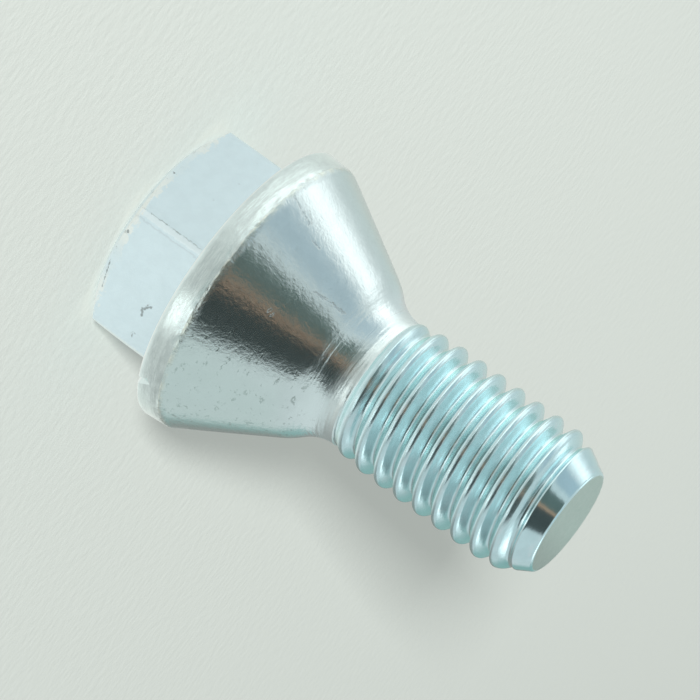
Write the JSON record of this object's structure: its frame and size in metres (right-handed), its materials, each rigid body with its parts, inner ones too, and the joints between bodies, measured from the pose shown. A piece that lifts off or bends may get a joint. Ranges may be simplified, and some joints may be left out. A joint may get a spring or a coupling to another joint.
{
  "type": "wheel bolt",
  "caption": "Hexagon head wheel bolt with a round collar, a 60 degree conical seat and a rolled coarse thread, bright zinc plated.",
  "frame": {"origin": "centre of the hexagon's end face, on which the bolt stands", "axes": "+Z along the bolt towards the tip of the thread, -Y through one corner of the hexagon"},
  "size_m": [0.0234, 0.0234, 0.0376],
  "materials": {
    "zinc_plated_steel": "bright zinc plate with a thin blue passivate, satin on the hexagon and glossy on the cone and thread"
  },
  "bodies": {
    "root": {"wheel_bolt": "zinc_plated_steel"}
  },
  "joints": []
}
